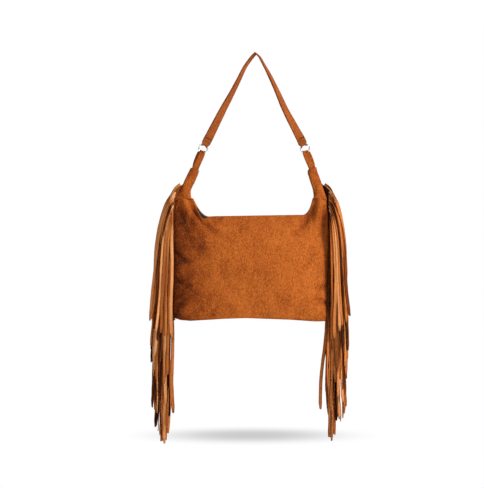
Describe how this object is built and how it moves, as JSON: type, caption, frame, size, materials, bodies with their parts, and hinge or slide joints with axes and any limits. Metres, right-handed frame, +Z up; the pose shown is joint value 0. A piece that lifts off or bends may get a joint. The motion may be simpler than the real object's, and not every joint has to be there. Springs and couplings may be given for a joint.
{
  "type": "fringed suede bag",
  "caption": "Suede shoulder bag with a zipped mouth, a folded strap on round rings and long fringe down both side seams.",
  "frame": {"origin": "underside of the strap's bend, where a hook or a shoulder carries the bag", "axes": "+Z up along the hang, +X to the wearer's side of the picture's right, front faces -Y"},
  "size_m": [0.4491, 0.0732, 0.8613],
  "materials": {
    "suede": "tan suede with a soft mottled nap",
    "fringe": "cut suede strips, lighter on the reverse",
    "nickel": "polished nickel wire",
    "lining": "dark woven lining",
    "zip_tape": "near-black woven tape",
    "zip_metal": "dull nickel"
  },
  "bodies": {
    "strap": {"strap": "suede"},
    "left_ring": {"left_ring": "nickel"},
    "right_ring": {"right_ring": "nickel"},
    "bag": {"left_tab": "suede", "right_tab": "suede", "left_horn": "suede", "right_horn": "suede", "front_panel": "suede", "back_panel": "suede", "base_panel": "suede", "left_fringe_front": "fringe", "left_fringe_back": "fringe", "right_fringe_front": "fringe", "right_fringe_back": "fringe", "lining": "lining", "inner_pocket": "lining", "zip_tape_front": "zip_tape", "zip_tape_back": "zip_tape", "zip_teeth_front": "zip_metal", "zip_teeth_back": "zip_metal", "zip_stop_left": "zip_metal", "zip_stop_right": "zip_metal"},
    "zip_slider": {"zip_slider": "zip_metal"},
    "zip_pull": {"zip_pull": "zip_metal"}
  },
  "joints": [
    {"name": "left_ring_turn", "type": "hinge", "parent": "strap", "child": "left_ring", "pos_m": [-0.116, 0, -0.2055], "axis": [0, 1, 0], "continuous": true},
    {"name": "right_ring_turn", "type": "hinge", "parent": "strap", "child": "right_ring", "pos_m": [0.108, 0, -0.2055], "axis": [0, 1, 0], "continuous": true},
    {"name": "bag_swing", "type": "hinge", "parent": "strap", "child": "bag", "pos_m": [-0.004, 0, -0.21333], "axis": [1, 0, 0], "range_deg": [-60, 60]},
    {"name": "zip_slide", "type": "slide", "parent": "bag", "child": "zip_slider", "axis": [1, 0, 0], "range_m": [-0.15, 0]},
    {"name": "zip_pull_lift", "type": "hinge", "parent": "zip_slider", "child": "zip_pull", "pos_m": [0.0765, 0, -0.3643], "axis": [0, 1, 0], "range_deg": [0, 115]}
  ]
}
